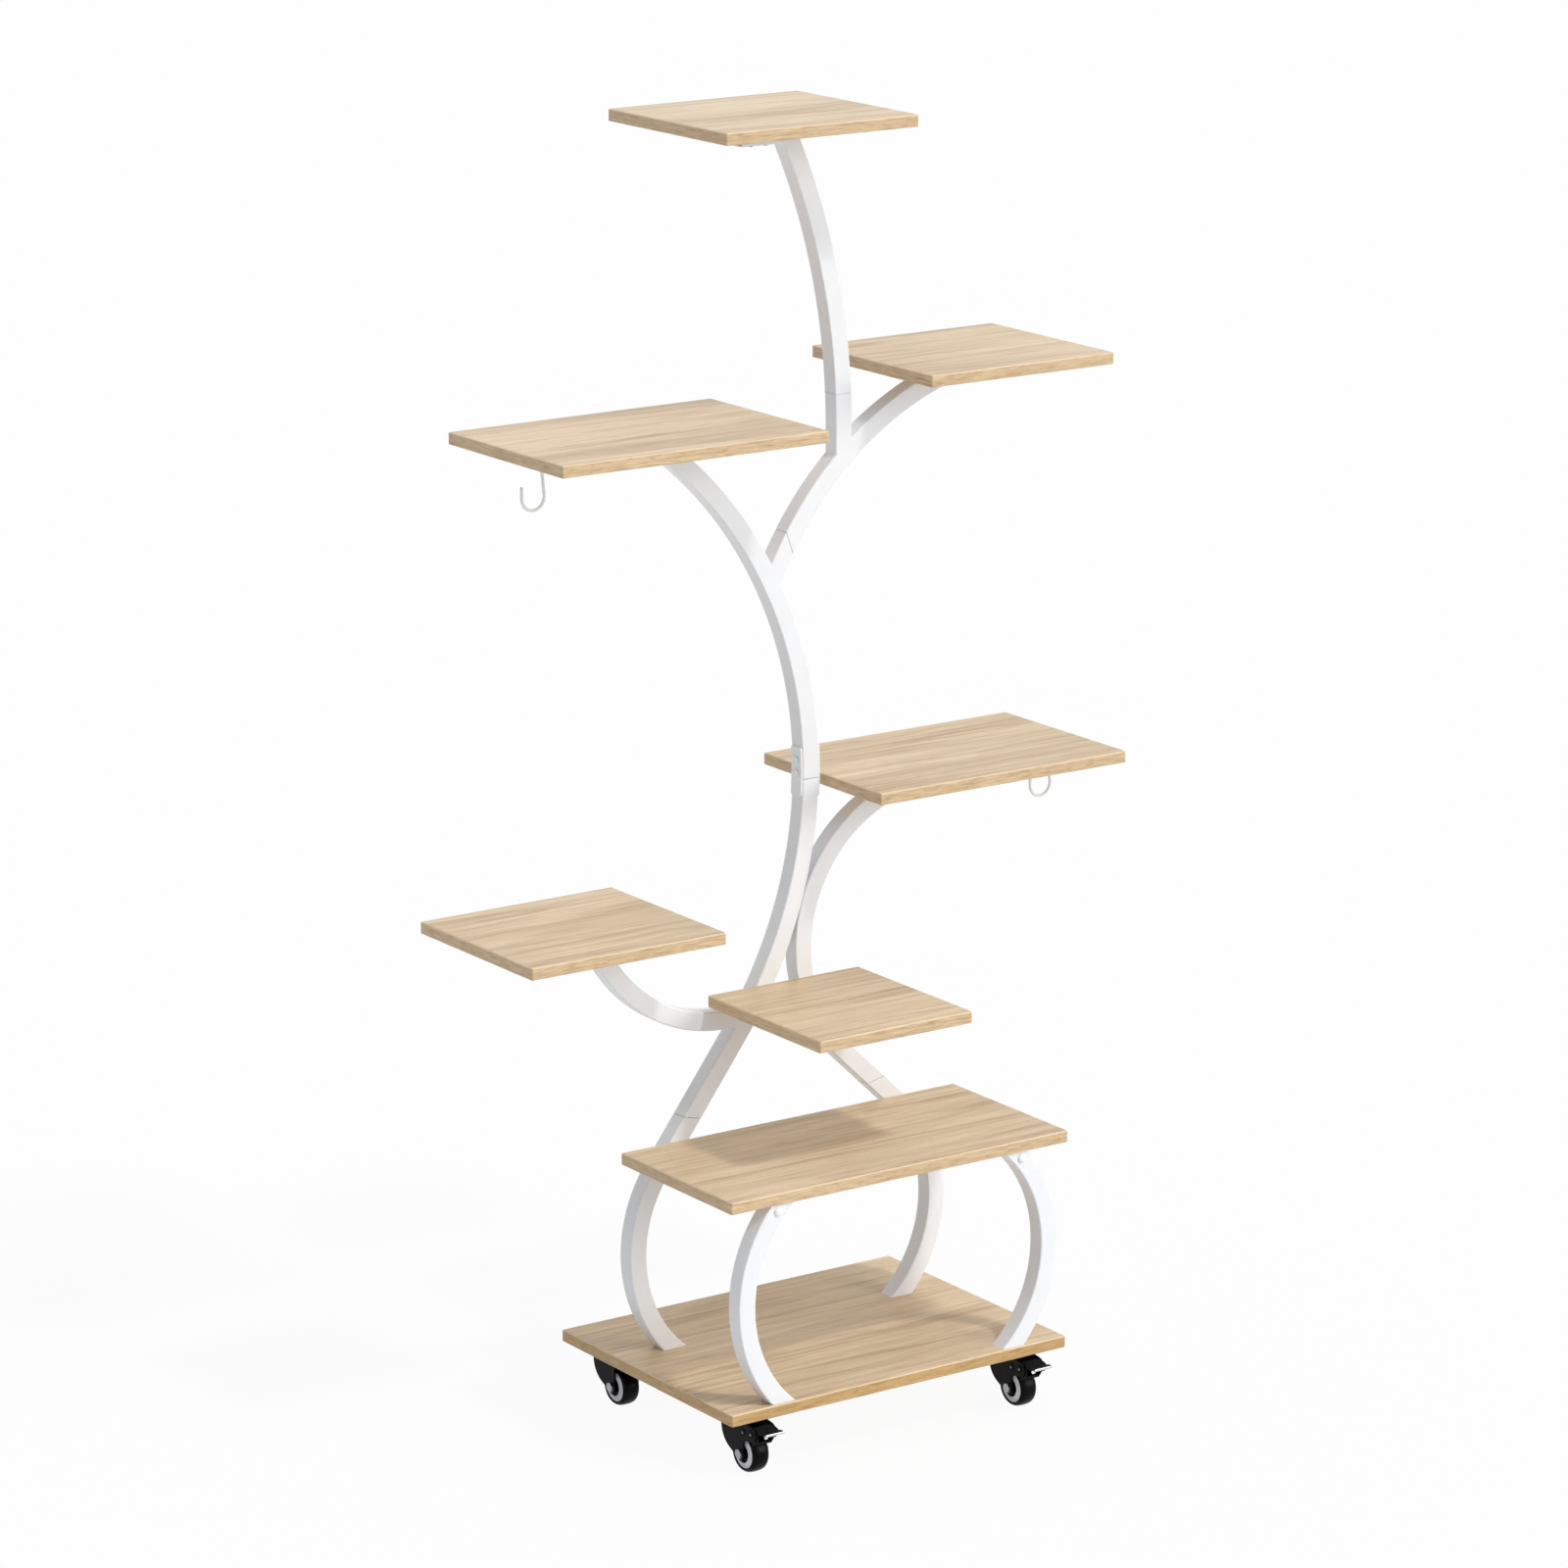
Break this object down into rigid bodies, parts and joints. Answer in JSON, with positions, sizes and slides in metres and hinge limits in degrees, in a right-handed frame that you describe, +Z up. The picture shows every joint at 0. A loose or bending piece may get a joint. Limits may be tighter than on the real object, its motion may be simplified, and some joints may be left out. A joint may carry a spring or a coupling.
{
  "type": "tree-shaped plant stand",
  "caption": "Tree-shaped plant stand: wooden shelves on curved white square-tube branches, with a wheeled base, braked front casters and hanging hooks.",
  "frame": {"origin": "on the floor, under the middle of the whole stand's bounding box", "axes": "+Z up, front towards -Y, +X to the right seen from the front; the tree of tubes lies in a plane y = constant and the boards' grain runs along X"},
  "size_m": [0.701, 0.316, 1.2835],
  "materials": {
    "oak": "satin light oak laminate, grain along X",
    "white_paint": "satin white powder coat",
    "black_paint": "semi-gloss black",
    "steel": "zinc-plated steel",
    "tyre": "glossy black polyurethane",
    "ring_white": "glossy light grey-white",
    "black_plastic": "matt black"
  },
  "bodies": {
    "stand": {"base_board": "oak", "low_shelf": "oak", "front_shelf": "oak", "left_low_shelf": "oak", "right_mid_shelf": "oak", "left_high_shelf": "oak", "right_high_shelf": "oak", "top_shelf": "oak", "front_left_leg": "white_paint", "front_right_leg": "white_paint", "back_left_leg": "white_paint", "back_right_leg": "white_paint", "left_trunk_lower": "white_paint", "left_trunk_upper": "white_paint", "right_trunk": "white_paint", "high_right_branch": "white_paint", "top_branch": "white_paint", "splice_plates": "white_paint", "splice_bolts": "white_paint", "shelf_angles": "white_paint", "angle_bolts": "white_paint", "left_hook": "white_paint", "right_hook": "white_paint", "leg_spigots": "steel", "branch_spigots": "steel", "angle_screws": "steel", "shelf_screws": "steel", "foot_screws": "steel", "caster_screws": "steel", "kingpins": "steel", "caster_plates": "black_paint"},
    "caster_front_left": {"fork_front_left": "black_paint", "axle_front_left": "steel"},
    "wheel_front_left": {"tyre_front_left": "tyre", "ring_front_left": "ring_white", "core_front_left": "black_plastic"},
    "brake_front_left": {"pedal_front_left": "black_paint"},
    "caster_front_right": {"fork_front_right": "black_paint", "axle_front_right": "steel"},
    "wheel_front_right": {"tyre_front_right": "tyre", "ring_front_right": "ring_white", "core_front_right": "black_plastic"},
    "brake_front_right": {"pedal_front_right": "black_paint"},
    "caster_back_left": {"fork_back_left": "black_paint", "axle_back_left": "steel"},
    "wheel_back_left": {"tyre_back_left": "tyre", "ring_back_left": "ring_white", "core_back_left": "black_plastic"},
    "caster_back_right": {"fork_back_right": "black_paint", "axle_back_right": "steel"},
    "wheel_back_right": {"tyre_back_right": "tyre", "ring_back_right": "ring_white", "core_back_right": "black_plastic"}
  },
  "joints": [
    {"name": "swivel_front_left", "type": "hinge", "parent": "stand", "child": "caster_front_left", "pos_m": [-0.1545, -0.105, 0.0535], "axis": [0, 0, 1], "continuous": true},
    {"name": "roll_front_left", "type": "hinge", "parent": "caster_front_left", "child": "wheel_front_left", "pos_m": [-0.1545, -0.1165, 0.02], "axis": [1, 0, 0], "continuous": true},
    {"name": "pedal_front_left", "type": "hinge", "parent": "caster_front_left", "child": "brake_front_left", "pos_m": [-0.1545, -0.1344, 0.0445], "axis": [1, 0, 0], "range_deg": [0, 12]},
    {"name": "swivel_front_right", "type": "hinge", "parent": "stand", "child": "caster_front_right", "pos_m": [0.1675, -0.105, 0.0535], "axis": [0, 0, 1], "continuous": true},
    {"name": "roll_front_right", "type": "hinge", "parent": "caster_front_right", "child": "wheel_front_right", "pos_m": [0.1675, -0.1165, 0.02], "axis": [1, 0, 0], "continuous": true},
    {"name": "pedal_front_right", "type": "hinge", "parent": "caster_front_right", "child": "brake_front_right", "pos_m": [0.1675, -0.1344, 0.0445], "axis": [1, 0, 0], "range_deg": [0, 12]},
    {"name": "swivel_back_left", "type": "hinge", "parent": "stand", "child": "caster_back_left", "pos_m": [-0.1545, 0.121, 0.0535], "axis": [0, 0, 1], "continuous": true},
    {"name": "roll_back_left", "type": "hinge", "parent": "caster_back_left", "child": "wheel_back_left", "pos_m": [-0.1545, 0.1095, 0.02], "axis": [1, 0, 0], "continuous": true},
    {"name": "swivel_back_right", "type": "hinge", "parent": "stand", "child": "caster_back_right", "pos_m": [0.1675, 0.121, 0.0535], "axis": [0, 0, 1], "continuous": true},
    {"name": "roll_back_right", "type": "hinge", "parent": "caster_back_right", "child": "wheel_back_right", "pos_m": [0.1675, 0.1095, 0.02], "axis": [1, 0, 0], "continuous": true}
  ]
}
